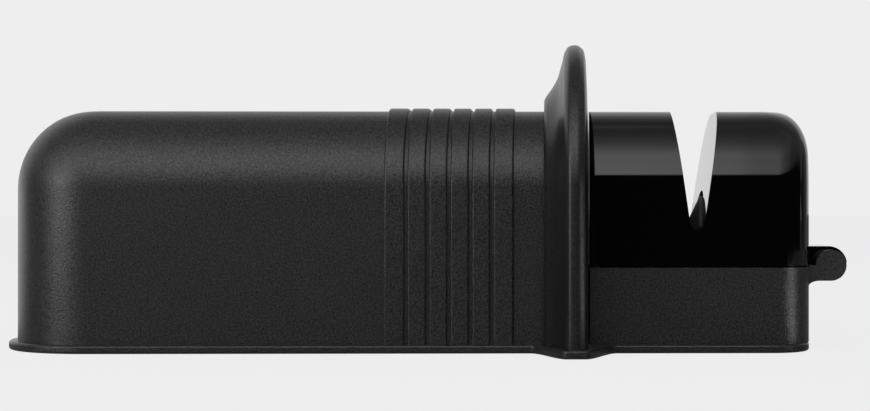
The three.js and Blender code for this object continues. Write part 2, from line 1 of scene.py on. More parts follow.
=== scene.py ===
# Axe and knife sharpener: finished surfaces, materials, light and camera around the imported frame.
# Shapes are worked out in millimetres in the part's own coordinates, where X = 0 is the guard's
# face on the head's side, Y = 0 is the plane of symmetry and Z = 0 is the floor. Each finished
# piece is then brought into the frame in metres.
import bpy
import json
import math
from mathutils import Matrix, Vector

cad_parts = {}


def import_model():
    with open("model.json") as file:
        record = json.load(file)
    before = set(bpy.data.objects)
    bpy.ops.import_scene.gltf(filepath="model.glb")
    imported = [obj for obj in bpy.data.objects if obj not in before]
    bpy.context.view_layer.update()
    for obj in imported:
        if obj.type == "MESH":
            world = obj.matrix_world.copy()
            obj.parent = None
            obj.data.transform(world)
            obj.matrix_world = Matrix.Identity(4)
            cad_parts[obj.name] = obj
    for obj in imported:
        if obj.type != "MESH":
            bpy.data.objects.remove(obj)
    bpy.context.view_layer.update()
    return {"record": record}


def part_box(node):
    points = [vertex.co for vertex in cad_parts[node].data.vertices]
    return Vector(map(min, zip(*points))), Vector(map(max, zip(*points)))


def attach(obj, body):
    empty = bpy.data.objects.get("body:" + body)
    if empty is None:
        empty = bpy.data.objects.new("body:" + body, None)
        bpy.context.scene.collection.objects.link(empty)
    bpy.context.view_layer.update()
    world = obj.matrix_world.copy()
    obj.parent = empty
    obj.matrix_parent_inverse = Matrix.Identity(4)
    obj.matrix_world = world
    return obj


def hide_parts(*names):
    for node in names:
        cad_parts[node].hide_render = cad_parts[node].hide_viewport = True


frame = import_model()

MM = 0.001
GUARD_FACE_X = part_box("hand_guard")[1].x / MM
BODY_OF_NODE = {
    node: body
    for body, nodes in frame["record"]["behaviour"]["bodies"].items()
    for node in nodes
}

# Body section, shared by handle and head
BODY_HALF_WIDTH = 16
BODY_TOP = 47.8
CROWN_HALF_WIDTH = 4.6
SHOULDER_HEIGHT = 15.5
WALL = 2
SEAT_GAP = 0.3
PART_CLEARANCE = 0.15
OVERRUN = 1

# Handle and its grip ribs
HANDLE_STRAIGHT = 97.5
NOSE_LENGTH = 18
NOSE_TOP_INSET = 14.6
NOSE_SHOULDER_HEIGHT = 15.8
BOSS_RADIUS = 3.2
NOSE_SCREW_INSET = 2.5
NECK_SCREW_INSET = 7
RIB_PROUD = 0.6
RIB_EDGE = 0.4
RIB_MARGIN = 5.9
END_RIB_WIDTH = 3.9
RIB_WIDTH = 3.5
RIB_GAP = 0.68
RIB_COUNT = 6

# Foot plate
PLATE_THICKNESS = 1.7
PLATE_PROUD = 1
NOSE_PROUD = 1.75
PLATE_ROUND = 0.5
GUARD_FOOT_PROUD = 0.9
GUARD_FOOT_LEAD = 2.7
GUARD_FOOT_RUN = 7.2
GUARD_FOOT_TAIL = 0.8
GUARD_FOOT_END_RUN = 6.4
LIP_HEIGHT = 3
LIP_THICKNESS = 1.2

# Hand guard
GUARD_DEPTH = 8.7
GUARD_RISE = 13.4
GUARD_SIDE_RISE = 11.6
GUARD_WEB = 3
GUARD_SCREW_INSET = 5.6

# Head base and hinge
HEAD_LENGTH = 43.87
HEAD_CORNER_RADIUS = 7
HEAD_BASE_TOP = 16.65
DECK_TOP = 9
DECK_THICKNESS = 1.8
BOSS_MARGIN = 1
TIP_COVER = 1.6
SMALL_BOSS_LIFT = 1.3
HINGE_LIFT = 0.2
PIN_RADIUS = 1.25
PIN_CLEARANCE = 0.1
EAR_RADIUS = 3.1
EAR_INNER = 7
EAR_THICKNESS = 2.5
EAR_ARM_DROP = 4.2
BLIND_WALL = 0.8
HOOK_RADIUS = 3.75
HOOK_ROOM = 0.73
HOOK_TIP_ANGLE = 8
HOOK_HEEL_ANGLE = 235
HOOK_ARM_RUN = 0.8

# Lid
LID_END_INSET = 5.4
LID_END_SHOULDER = 9
SLOT_CENTRE_X = 21.3
SLOT_FLOOR = 24.1
SLOT_FLOOR_RADIUS = 1.45
SLOT_FLARE = 0.145
SLOT_WALL = 1.6
WINDOW_ROOM = 1.1
TONGUE_HALF_WIDTH = 5
TONGUE_DEPTH_SHARE = 0.6
TONGUE_THICKNESS = 1.2
TONGUE_CLEARANCE = 0.7
CORNER_DRAW_SHARE = 0.4
LID_START_RADIUS = 1.1
LID_INNER_RADIUS = 0.1
START_DRAW_SHARE = 0.8

# Grinding wheels, carrier and axle
WHEEL_RADIUS = 9
WHEEL_WIDTH = 4.3
WHEEL_BEVEL_DEPTH = 4.8
CROWN_OFFSET = 2.8
CROWN_WIDTH = 0.9
CROWN_DROP_SHARE = 0.2
OUTER_BEVEL_DEPTH = 2
WHEEL_SHIFT = 0.5
WHEEL_FLOOR_ROOM = 1.8
AXLE_RADIUS = 1.5
AXLE_SKEW = math.radians(-6)
WASHER_THICKNESS = 0.6
WASHER_RADIUS = 3.2
CHEEK_THICKNESS = 2
CHEEK_HALF_WIDTH = 4.5
CARRIER_BASE_THICKNESS = 2
CARRIER_HALF_WIDTH = 6
CARRIER_SCREW_ROOM = 0.35
CARRIER_END_ROOM = 0.5
CLIP_THICKNESS = 0.6
CLIP_RADIUS = 2.9
CLIP_MOUTH_HALF_WIDTH = 0.9
GROOVE_DEPTH = 0.45
AXLE_TAIL = 0.8

# Screws
SCREW_RADIUS = 1.25
SCREW_HEAD_RADIUS = 2.2
SCREW_HEAD_HEIGHT = 0.8
SCREW_RECESS = 0.2
SCREW_LENGTH = 8
TIP_ROOM = 0.5
HOLE_CLEARANCE = 0.12
HEAD_CLEARANCE = 0.3
DRIVE_DEPTH = 0.45
DRIVE_WIDTH_SHARE = 0.22
DRIVE_LENGTH_SHARE = 0.6
SMALL_SCREW_RADIUS = 0.9
SMALL_SCREW_HEAD_RADIUS = 1.7
SMALL_SCREW_HEAD_HEIGHT = 1.1

# Rounds on the finished pieces' edges, and the angles from which an edge is rounded or drawn sharp
GUARD_EDGE = 0.12
HEAD_EDGE = 0.18
LID_EDGE = 0.12
PIN_EDGE = 0.15
CARRIER_EDGE = 0.2
SMALL_EDGE = 0.08
BEVEL_SEGMENTS = 2
BEVEL_ANGLE = math.radians(35)
SHARP_ANGLE = math.radians(32)

# How finely round shapes are stepped
SHOULDER_STEPS = 30
NOSE_STEPS = 72
CORNER_STEPS = 16
START_CORNER_STEPS = 8
FLARE_STEPS = 24
ROUND_STEPS = 6
RIB_EDGE_STEPS = 5
GUARD_STEPS = 5
CIRCLE_STEPS = 64
WHEEL_STEPS = 144

# Sizes and places worked out from these values
HEAD_START_X = SEAT_GAP
HEAD_END_X = HEAD_START_X + HEAD_LENGTH
LID_BOTTOM = HEAD_BASE_TOP + SEAT_GAP
HINGE_X = HEAD_END_X + HOOK_RADIUS + HOOK_ROOM
HINGE_HEIGHT = HEAD_BASE_TOP + HINGE_LIFT
BEARING_RADIUS = PIN_RADIUS + PIN_CLEARANCE
BLIND_DEPTH = EAR_THICKNESS - BLIND_WALL

WHEEL_START = PART_CLEARANCE
WHEEL_END = WHEEL_START + WHEEL_WIDTH
WASHER_START = WHEEL_END + PART_CLEARANCE
CHEEK_START = WASHER_START + WASHER_THICKNESS + PART_CLEARANCE
CHEEK_END = CHEEK_START + CHEEK_THICKNESS
GROOVE_START = CHEEK_END + PART_CLEARANCE
GROOVE_END = GROOVE_START + CLIP_THICKNESS + 2 * PART_CLEARANCE
AXLE_END = GROOVE_END + AXLE_TAIL
AXLE_BORE = AXLE_RADIUS + PIN_CLEARANCE
CARRIER_SCREW_OFFSET = CHEEK_END + SMALL_SCREW_HEAD_RADIUS + CARRIER_SCREW_ROOM
CARRIER_HALF_LENGTH = CARRIER_SCREW_OFFSET + SMALL_SCREW_HEAD_RADIUS + CARRIER_END_ROOM
WHEEL_CENTRE_X = SLOT_CENTRE_X - WHEEL_SHIFT
AXLE_HEIGHT = DECK_TOP + CARRIER_BASE_THICKNESS + WHEEL_FLOOR_ROOM + WHEEL_RADIUS
WHEEL_CENTRE = (WHEEL_CENTRE_X, 0, AXLE_HEIGHT)
WINDOW_RADIUS = WHEEL_RADIUS + WINDOW_ROOM
WINDOW_HALF_LENGTH = WHEEL_END + WINDOW_ROOM

SCREW_HOLE_RADIUS = SCREW_RADIUS + HOLE_CLEARANCE
SMALL_HOLE_RADIUS = SMALL_SCREW_RADIUS + HOLE_CLEARANCE
SCREW_SEAT = SCREW_RECESS + SCREW_HEAD_HEIGHT
SCREW_TIP = SCREW_SEAT + SCREW_LENGTH
HEAD_SCREW_TIP = DECK_TOP - TIP_COVER
SMALL_SCREW_SEAT = DECK_TOP + CARRIER_BASE_THICKNESS
SMALL_BOSS_BOTTOM = PLATE_THICKNESS + SMALL_BOSS_LIFT
SMALL_SCREW_TIP = SMALL_BOSS_BOTTOM + WALL


# Mesh solids

def solid(points, faces):
    """A closed mesh object, in millimetres, with its faces turned outwards."""
    mesh = bpy.data.meshes.new("solid")
    mesh.from_pydata(points, [], faces)
    mesh.update()
    made = bpy.data.objects.new("solid", mesh)
    bpy.context.scene.collection.objects.link(made)
    if signed_volume(mesh) < 0:
        mesh.flip_normals()
    return made


def signed_volume(mesh):
    mesh.calc_loop_triangles()
    total = 0
    for triangle in mesh.loop_triangles:
        a, b, c = (mesh.vertices[i].co for i in triangle.vertices)
        total += a.dot(b.cross(c))
    return total


def band(low, high, count):
    """Faces between two closed rings of points, each given by the number of its first point."""
    faces = []
    for i in range(count):
        after = (i + 1) % count
        faces.append((low + i, low + after, high + after, high + i))
    return faces


def loft(rings):
    """Skin through rings that have the same count of points, with a flat cap at each end."""
    count = len(rings[0])
    points = [point for ring in rings for point in ring]
    last = len(points) - count
    faces = []
    for low in range(0, last, count):
        faces += band(low, low + count, count)
    faces.append(tuple(reversed(range(count))))
    faces.append(tuple(range(last, last + count)))
    return solid(points, faces)


def at_height(outline, z):
    return [(x, y, z) for x, y in outline]


def along_z(outline, start, end):
    return loft([at_height(outline, z) for z in (start, end)])


def along_y(outline, start, end):
    return loft([[(x, y, z) for x, z in outline] for y in (start, end)])


def block(low, high):
    outline = [(low[0], low[1]), (high[0], low[1]), (high[0], high[1]), (low[0], high[1])]
    return along_z(outline, low[2], high[2])


def arc(x, y, radius, turns):
    return [(x + radius * math.cos(turn), y + radius * math.sin(turn)) for turn in turns]


def circle_turns(steps):
    return [2 * math.pi * i / steps for i in range(steps)]


def quarter_turns(steps):
    return [math.pi / 2 * i / steps for i in range(steps + 1)]


def post_z(radius, x, y, start, end):
    return along_z(arc(x, y, radius, circle_turns(CIRCLE_STEPS)), start, end)


def posts_z(radius, places, start, end):
    return [post_z(radius, x, y, start, end) for x, y in places]


def post_y(radius, x, z, start, end):
    return along_y(arc(x, z, radius, circle_turns(CIRCLE_STEPS)), start, end)


def turned_x(profile, steps=CIRCLE_STEPS):
    """A profile of (along, radius) points turned about X: a bar if it starts on the axis, or a ring."""
    turns = circle_turns(steps)
    rings = [
        [(along, radius * math.sin(turn), radius * math.cos(turn)) for turn in turns]
        for along, radius in profile
        if radius
    ]
    if profile[0][1] == 0:
        return loft(rings)
    points = [point for ring in rings for point in ring]
    faces = []
    for low in range(0, len(points), steps):
        faces += band(low, (low + steps) % len(points), steps)
    return solid(points, faces)


def bar_x(half_length, radius):
    return turned_x([(-half_length, 0), (-half_length, radius), (half_length, radius), (half_length, 0)])


def ring_x(start, thickness, inner, outer):
    end = start + thickness
    return turned_x([(start, inner), (start, outer), (end, outer), (end, inner)])


def combine(first, others, operation):
    """Joins or cuts the first solid with the others, which are used up."""
    for other in others:
        step = first.modifiers.new(operation.lower(), "BOOLEAN")
        step.operation = operation
        step.solver = "EXACT"
        step.object = other
    settle(first)
    for other in others:
        bpy.data.objects.remove(other)
    return first


def settle(made):
    """Gives an object the mesh that its modifiers make."""
    bpy.context.view_layer.update()
    evaluated = made.evaluated_get(bpy.context.evaluated_depsgraph_get())
    mesh = bpy.data.meshes.new_from_object(evaluated)
    made.modifiers.clear()
    made.data = mesh


def cut(first, *tools):
    return combine(first, tools, "DIFFERENCE")


def join(first, *others):
    return combine(first, others, "UNION")


def bevel(made, width):
    step = made.modifiers.new("edges", "BEVEL")
    step.width = width
    step.segments = BEVEL_SEGMENTS
    step.limit_method = "ANGLE"
    step.angle_limit = BEVEL_ANGLE
    step.miter_outer = "MITER_ARC"
    settle(made)
    return made


def place(made, node, slot, material, turn=0, centre=(0, 0, 0)):
    """Brings a finished solid into the frame, in metres, in place of its CAD node."""
    into = Matrix.Translation(Vector(centre)) @ Matrix.Rotation(turn, 4, "Z")
    scale = Matrix.Scale(MM, 4) @ Matrix.Translation((GUARD_FACE_X, 0, 0))
    made.data.transform(scale @ into)
    made.name = node + "_fine"
    made.data.shade_smooth()
    made.data.set_sharp_from_angle(angle=SHARP_ANGLE)
    weigh = made.modifiers.new("weighted_normals", "WEIGHTED_NORMAL")
    weigh.keep_sharp = True
    settle(made)
    made.data.materials.clear()
    made.data.materials.append(material)
    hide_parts(node)
    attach(made, BODY_OF_NODE[node])


# Outlines and forms, as in the part

def round_inset(z, top, height, depth):
    """How far a wall has drawn in at a height where its top is rounded over."""
    share = min(max((z - top + height) / height, 0), 1)
    return depth * (1 - math.sqrt(1 - share * share))


def shoulder_heights(bottom, top, height):
    turns = quarter_turns(SHOULDER_STEPS)
    return [bottom] + [top - height + height * math.sin(turn) for turn in turns]


def mirrored(points):
    """The points on the other side of the middle plane, in reverse order."""
    return [(x, -y) for x, y in reversed(points)]


def nose_outline(half_width, reach, end_x):
    """A plan from one side wall round the nose to the other, open at its end."""
    outline = [(end_x, half_width)]
    for i in range(NOSE_STEPS + 1):
        turn = math.pi / 2 + math.pi * i / NOSE_STEPS
        outline.append((-HANDLE_STRAIGHT + reach * math.cos(turn), half_width * math.sin(turn)))
    outline.append((end_x, -half_width))
    return outline


def handle_form(shrink, bottom, end_x):
    """The handle's outer form, or the room inside when it is shrunk by the wall."""
    top = BODY_TOP - shrink
    side_depth = BODY_HALF_WIDTH - CROWN_HALF_WIDTH - shrink
    rings = []
    for z in shoulder_heights(bottom, top, NOSE_SHOULDER_HEIGHT - shrink):
        side_inset = round_inset(z, top, SHOULDER_HEIGHT - shrink, side_depth)
        nose_inset = round_inset(z, top, NOSE_SHOULDER_HEIGHT - shrink, NOSE_TOP_INSET - shrink)
        half_width = BODY_HALF_WIDTH - shrink - side_inset
        outline = nose_outline(half_width, NOSE_LENGTH - shrink - nose_inset, end_x)
        rings.append(at_height(outline, z))
    return loft(rings)


def section_ring(x, side_grow, top_grow, bottom):
    """Upright section across the body, grown by one amount at the sides and another at the top."""
    points = [(x, -BODY_HALF_WIDTH - side_grow, bottom)]
    depth = BODY_HALF_WIDTH - CROWN_HALF_WIDTH + side_grow
    height = SHOULDER_HEIGHT + top_grow
    for turn in quarter_turns(SHOULDER_STEPS):
        y = -CROWN_HALF_WIDTH - depth * math.cos(turn)
        points.append((x, y, BODY_TOP - SHOULDER_HEIGHT + height * math.sin(turn)))
    return points + [(px, -py, pz) for px, py, pz in reversed(points)]


def rib_places():
    """Where each grip rib starts along X, and its width."""
    run = 2 * END_RIB_WIDTH + (RIB_COUNT - 2) * RIB_WIDTH + (RIB_COUNT - 1) * RIB_GAP
    x = -GUARD_DEPTH - RIB_MARGIN - run
    places = []
    for i in range(RIB_COUNT):
        width = END_RIB_WIDTH if i in (0, RIB_COUNT - 1) else RIB_WIDTH
        places.append((x, width))
        x += width + RIB_GAP
    return places


def grip_rib(start_x, width):
    """A low band across the body, with its edges rounded."""
    rise = [
        (start_x + RIB_EDGE * (1 - math.cos(turn)), RIB_PROUD - RIB_EDGE * (1 - math.sin(turn)))
        for turn in quarter_turns(RIB_EDGE_STEPS)
    ]
    fall = [(2 * start_x + width - x, grow) for x, grow in reversed(rise)]
    profile = [(start_x, -WALL / 2)] + rise + fall + [(start_x + width, -WALL / 2)]
    return loft([section_ring(x, grow, grow, PLATE_THICKNESS) for x, grow in profile])


# Where the screws stand, as (x, y)
NOSE_SCREW_X = NOSE_SCREW_INSET - HANDLE_STRAIGHT
NECK_SCREW_X = -GUARD_DEPTH - NECK_SCREW_INSET
HANDLE_SCREW_PLACES = [(NOSE_SCREW_X, 0), ((NOSE_SCREW_X + NECK_SCREW_X) / 2, 0), (NECK_SCREW_X, 0)]
GUARD_SCREW_Y = BODY_HALF_WIDTH + GUARD_SIDE_RISE - GUARD_SCREW_INSET
GUARD_SCREW_PLACES = [(-GUARD_WEB, side * GUARD_SCREW_Y) for side in (-1, 1)]
HEAD_SCREW_INSET = WALL + BOSS_RADIUS + BOSS_MARGIN
HEAD_SCREW_PLACES = [(HEAD_START_X + HEAD_SCREW_INSET, 0), (HEAD_END_X - HEAD_SCREW_INSET, 0)]
BASE_SCREW_PLACES = HANDLE_SCREW_PLACES + GUARD_SCREW_PLACES + HEAD_SCREW_PLACES
BASE_SCREW_NAMES = [
    "nose_screw", "middle_screw", "neck_screw", "guard_screw_front", "guard_screw_back",
    "head_screw_inner", "head_screw_outer",
]
CARRIER_SCREW_PLACES = [
    (
        WHEEL_CENTRE_X + side * CARRIER_SCREW_OFFSET * math.cos(AXLE_SKEW),
        side * CARRIER_SCREW_OFFSET * math.sin(AXLE_SKEW),
    )
    for side in (-1, 1)
]


def screw_holes(places, tip):
    return posts_z(SCREW_HOLE_RADIUS, places, PLATE_THICKNESS - OVERRUN, tip + TIP_ROOM)


def handle_shell():
    neck_end = -GUARD_WEB - SEAT_GAP
    outside = join(
        handle_form(0, PLATE_THICKNESS, neck_end),
        *[grip_rib(x, width) for x, width in rib_places()],
    )
    hollow = cut(outside, handle_form(WALL, PLATE_THICKNESS - OVERRUN, neck_end + OVERRUN))
    bosses = posts_z(BOSS_RADIUS, HANDLE_SCREW_PLACES, PLATE_THICKNESS, BODY_TOP - WALL / 2)
    return cut(join(hollow, *bosses), *screw_holes(HANDLE_SCREW_PLACES, SCREW_TIP))


# Guard profile: places along X as shares of its depth, each with its rise as a share of the whole rise
GUARD_PROFILE_SHARES = [
    (-1, 0.17), (-0.946, 0.235), (-0.876, 0.295), (-0.812, 0.356), (-0.754, 0.417), (-0.707, 0.478),
    (-0.67, 0.538), (-0.617, 0.66), (-0.57, 0.781), (-0.552, 0.842), (-0.518, 0.903), (-0.458, 0.964),
    (-0.39, 0.989), (-0.3, 1), (-0.23, 0.994), (-0.158, 0.965), (-0.088, 0.912), (-0.048, 0.791),
]
GUARD_FACE_SHARES = [(-0.02, 0.4), (0, 0)]


def smooth_value(p, q, r, s, t):
    """A Catmull-Rom curve's value at the share t of the way from q to r."""
    bend = (2 * p - 5 * q + 4 * r - s) * t ** 2 + (3 * q - p - 3 * r + s) * t ** 3
    return 0.5 * (2 * q + (r - p) * t + bend)


def smooth_through(points, steps):
    ends = [points[0]] + points + [points[-1]]
    curve = []
    for corners in zip(ends, ends[1:], ends[2:], ends[3:]):
        for i in range(steps):
            curve.append(tuple(smooth_value(*values, i / steps) for values in zip(*corners)))
    return curve + [points[-1]]


def hand_guard():
    profile = smooth_through(GUARD_PROFILE_SHARES, GUARD_STEPS) + GUARD_FACE_SHARES
    outside = loft([
        section_ring(along * GUARD_DEPTH, rise * GUARD_SIDE_RISE, rise * GUARD_RISE, PLATE_THICKNESS)
        for along, rise in profile
    ])
    bore = loft([
        section_ring(x, SEAT_GAP, SEAT_GAP, PLATE_THICKNESS - OVERRUN)
        for x in (-GUARD_DEPTH - OVERRUN, -GUARD_WEB)
    ])
    return cut(outside, bore, *screw_holes(GUARD_SCREW_PLACES, SCREW_TIP))


def end_corner(end_x, half_width, radius):
    """The wide quarter round at the head's far end, from the front wall to the end wall."""
    return [
        (end_x - radius + radius * math.sin(turn), radius - half_width - radius * math.cos(turn))
        for turn in quarter_turns(CORNER_STEPS)
    ]


def start_corner(start_x, half_width, radius):
    """The small quarter round at the lid's end by the guard, from the back wall to the end wall."""
    return [
        (start_x + radius - radius * math.sin(turn), half_width - radius + radius * math.cos(turn))
        for turn in quarter_turns(START_CORNER_STEPS)
    ]


def flank(from_x, to_x, from_y, to_y):
    """The foot plate's edge where it widens or narrows, level at both ends."""
    points = []
    for i in range(FLARE_STEPS + 1):
        share = i / FLARE_STEPS
        rise = share * share * (3 - 2 * share)
        points.append((from_x + (to_x - from_x) * share, from_y + (to_y - from_y) * rise))
    return points


def plate_outline(inset):
    """The foot plate's plan, drawn in all round by the inset and wider under the guard."""
    half_width = BODY_HALF_WIDTH + PLATE_PROUD - inset
    foot_half_width = BODY_HALF_WIDTH + GUARD_SIDE_RISE + GUARD_FOOT_PROUD - inset
    foot_x = -GUARD_DEPTH - GUARD_FOOT_LEAD
    nose = nose_outline(half_width, NOSE_LENGTH + NOSE_PROUD - inset, foot_x)
    front = [
        *flank(foot_x, foot_x + GUARD_FOOT_RUN, -half_width, -foot_half_width),
        *flank(-GUARD_FOOT_TAIL, GUARD_FOOT_END_RUN - GUARD_FOOT_TAIL, -foot_half_width, -half_width),
        *end_corner(HEAD_END_X - inset, half_width, HEAD_CORNER_RADIUS + PLATE_PROUD - inset),
    ]
    return [*nose[:-1], *front, *mirrored(front)[:-1]]


def base_plate():
    lower = [
        (PLATE_ROUND * (1 - math.sin(turn)), PLATE_ROUND * (1 - math.cos(turn)))
        for turn in quarter_turns(ROUND_STEPS)
    ]
    upper = [(inset, PLATE_THICKNESS - z) for inset, z in reversed(lower)]
    slab = loft([at_height(plate_outline(inset), z) for inset, z in lower + upper])
    lip_inset = WALL + SEAT_GAP
    core_inset = lip_inset + LIP_THICKNESS
    lip_end = -GUARD_DEPTH - WALL
    top = PLATE_THICKNESS + LIP_HEIGHT
    outer = nose_outline(BODY_HALF_WIDTH - lip_inset, NOSE_LENGTH - lip_inset, lip_end)
    inner = nose_outline(BODY_HALF_WIDTH - core_inset, NOSE_LENGTH - core_inset, lip_end - LIP_THICKNESS)
    lip = cut(along_z(outer, PLATE_THICKNESS / 2, top), along_z(inner, 0, top + OVERRUN))
    holes = posts_z(SCREW_HOLE_RADIUS, BASE_SCREW_PLACES, -OVERRUN, PLATE_THICKNESS + OVERRUN)
    seats = posts_z(SCREW_HEAD_RADIUS + HEAD_CLEARANCE, BASE_SCREW_PLACES, -OVERRUN, SCREW_SEAT)
    return cut(join(slab, lip), *holes, *seats)


def head_outline(inset):
    """The head base's plan, square by the guard and rounded at the far end."""
    start_x = HEAD_START_X + inset
    half_width = BODY_HALF_WIDTH - inset
    front = end_corner(HEAD_END_X - inset, half_width, HEAD_CORNER_RADIUS - inset)
    return [(start_x, half_width), (start_x, -half_width), *front, *mirrored(front)]


def hinge_ear(side):
    """A disc on a short arm, with a fillet below where the arm meets the wall."""
    start, end = sorted((side * EAR_INNER, side * (EAR_INNER + EAR_THICKNESS)))
    root_x = HEAD_END_X - WALL / 2
    drop = EAR_ARM_DROP - EAR_RADIUS
    arm_bottom = HINGE_HEIGHT - EAR_ARM_DROP
    fillet = [
        (HEAD_END_X + 2 * drop * (1 - math.cos(turn)), arm_bottom + drop * math.sin(turn))
        for turn in quarter_turns(ROUND_STEPS)
    ]
    arm = along_y([
        (root_x, arm_bottom),
        *fillet,
        (HINGE_X, HINGE_HEIGHT - EAR_RADIUS),
        (HINGE_X, HINGE_HEIGHT),
        (HEAD_END_X, HINGE_HEIGHT),
        (HEAD_END_X, HEAD_BASE_TOP),
        (root_x, HEAD_BASE_TOP),
    ], start, end)
    return join(arm, post_y(EAR_RADIUS, HINGE_X, HINGE_HEIGHT, start, end))


def head_base():
    outside = along_z(head_outline(0), PLATE_THICKNESS, HEAD_BASE_TOP)
    tray = along_z(head_outline(WALL), DECK_TOP, HEAD_BASE_TOP + OVERRUN)
    underside = along_z(head_outline(WALL), PLATE_THICKNESS - OVERRUN, DECK_TOP - DECK_THICKNESS)
    boss_top = DECK_TOP - DECK_THICKNESS / 2
    small_boss_radius = SMALL_HOLE_RADIUS + WALL / 2
    small_hole_bottom = SMALL_SCREW_TIP - TIP_ROOM
    bosses = posts_z(BOSS_RADIUS, HEAD_SCREW_PLACES, PLATE_THICKNESS, boss_top)
    small_bosses = posts_z(small_boss_radius, CARRIER_SCREW_PLACES, SMALL_BOSS_BOTTOM, boss_top)
    small_holes = posts_z(SMALL_HOLE_RADIUS, CARRIER_SCREW_PLACES, small_hole_bottom, DECK_TOP + OVERRUN)
    ears = [hinge_ear(side) for side in (-1, 1)]
    bore_end = EAR_INNER + EAR_THICKNESS + OVERRUN
    pin_bore = post_y(BEARING_RADIUS, HINGE_X, HINGE_HEIGHT, -EAR_INNER - BLIND_DEPTH, bore_end)
    shell = join(cut(outside, tray, underside), *ears, *bosses, *small_bosses)
    return cut(shell, *screw_holes(HEAD_SCREW_PLACES, HEAD_SCREW_TIP), *small_holes, pin_bore)


def hinge_pin():
    start = -EAR_INNER - BLIND_DEPTH + PIN_CLEARANCE
    return post_y(PIN_RADIUS, HINGE_X, HINGE_HEIGHT, start, EAR_INNER + EAR_THICKNESS)


def lid_form(shrink, bottom):
    """The lid's plan at every height has small corners by the guard and two wide ones at the far end."""
    top = BODY_TOP - shrink
    side_depth = BODY_HALF_WIDTH - CROWN_HALF_WIDTH - shrink
    rings = []
    for z in shoulder_heights(bottom, top, SHOULDER_HEIGHT - shrink):
        side_inset = round_inset(z, top, SHOULDER_HEIGHT - shrink, side_depth)
        end_inset = round_inset(z, top, LID_END_SHOULDER - shrink, LID_END_INSET - shrink)
        half_width = BODY_HALF_WIDTH - shrink - side_inset
        draw = side_inset / side_depth
        radius = (HEAD_CORNER_RADIUS - shrink) * (1 - draw * CORNER_DRAW_SHARE)
        start_radius = max(LID_START_RADIUS - shrink, LID_INNER_RADIUS) * (1 - draw * START_DRAW_SHARE)
        front = end_corner(HEAD_END_X - shrink - end_inset, half_width, radius)
        start = start_corner(HEAD_START_X + shrink, half_width, start_radius)
        rings.append(at_height([*start, *mirrored(start), *front, *mirrored(front)], z))
    return loft(rings)


def slot_outline(grow, top):
    """The V of the slot, or its walls when grown by their thickness."""
    centre_z = SLOT_FLOOR + SLOT_FLOOR_RADIUS
    radius = SLOT_FLOOR_RADIUS + grow
    half_width = SLOT_FLOOR_RADIUS + SLOT_FLARE * (top - centre_z) + grow
    turns = [math.pi * (1 + i / (2 * CORNER_STEPS)) for i in range(2 * CORNER_STEPS + 1)]
    bottom = arc(SLOT_CENTRE_X, centre_z, radius, turns)
    return [(SLOT_CENTRE_X + half_width, top), (SLOT_CENTRE_X - half_width, top), *bottom]


def lid_hook():
    """Hook at the lid's far end: it wraps more than half way round the pin."""
    half_width = EAR_INNER - SEAT_GAP
    steps = CIRCLE_STEPS // 2
    sweep = HOOK_HEEL_ANGLE - HOOK_TIP_ANGLE
    turns = [math.radians(HOOK_TIP_ANGLE + sweep * i / steps) for i in range(steps + 1)]
    outer = arc(HINGE_X, HINGE_HEIGHT, HOOK_RADIUS, turns)
    inner = arc(HINGE_X, HINGE_HEIGHT, BEARING_RADIUS, turns)
    hook = along_y(outer + inner[::-1], -half_width, half_width)
    root_x = HEAD_END_X - WALL / 2
    reach = BEARING_RADIUS + HOOK_ARM_RUN
    arm = along_y([
        (root_x, HINGE_HEIGHT),
        (HINGE_X - reach, HINGE_HEIGHT),
        (HINGE_X - reach, HINGE_HEIGHT + reach),
        (HINGE_X, HINGE_HEIGHT + reach),
        (HINGE_X, HINGE_HEIGHT + HOOK_RADIUS),
        (root_x, HINGE_HEIGHT + HOOK_RADIUS),
    ], -half_width, half_width)
    return join(hook, arm)


def head_cover():
    slot_walls = along_y(slot_outline(SLOT_WALL, BODY_TOP + OVERRUN), -BODY_HALF_WIDTH, BODY_HALF_WIDTH)
    cavity = cut(lid_form(WALL, LID_BOTTOM - OVERRUN), slot_walls)
    slot_end = BODY_HALF_WIDTH + OVERRUN
    slot = along_y(slot_outline(0, BODY_TOP + OVERRUN), -slot_end, slot_end)
    window = bar_x(WINDOW_HALF_LENGTH, WINDOW_RADIUS)
    window.data.transform(Matrix.Translation(WHEEL_CENTRE) @ Matrix.Rotation(AXLE_SKEW, 4, "Z"))
    tongue_x = HEAD_START_X + WALL + TONGUE_CLEARANCE
    tongue_length = (HEAD_BASE_TOP - DECK_TOP) * TONGUE_DEPTH_SHARE
    tongue = block(
        (tongue_x, -TONGUE_HALF_WIDTH, LID_BOTTOM - tongue_length),
        (tongue_x + TONGUE_THICKNESS, TONGUE_HALF_WIDTH, LID_BOTTOM + tongue_length),
    )
    tongue_root = block(
        (HEAD_START_X + WALL / 2, -TONGUE_HALF_WIDTH, LID_BOTTOM + WALL / 2),
        (tongue_x + TONGUE_THICKNESS / 2, TONGUE_HALF_WIDTH, LID_BOTTOM + tongue_length),
    )
    shell = cut(lid_form(0, LID_BOTTOM), cavity, slot, window)
    return join(shell, tongue_root, tongue, lid_hook())


# What runs on the axle is built along X about the axle's own centre

def grinding_wheel(side):
    drop = CROWN_WIDTH * CROWN_DROP_SHARE
    crown = [
        (CROWN_OFFSET + CROWN_WIDTH / 2 * share, WHEEL_RADIUS - drop * share * share)
        for share in [i / ROUND_STEPS - 1 for i in range(2 * ROUND_STEPS + 1)]
    ]
    profile = [
        (WHEEL_START, AXLE_BORE),
        (WHEEL_START, WHEEL_RADIUS - WHEEL_BEVEL_DEPTH),
        *crown,
        (WHEEL_END, WHEEL_RADIUS - OUTER_BEVEL_DEPTH),
        (WHEEL_END, AXLE_BORE),
    ]
    return turned_x([(side * along, radius) for along, radius in profile], WHEEL_STEPS)


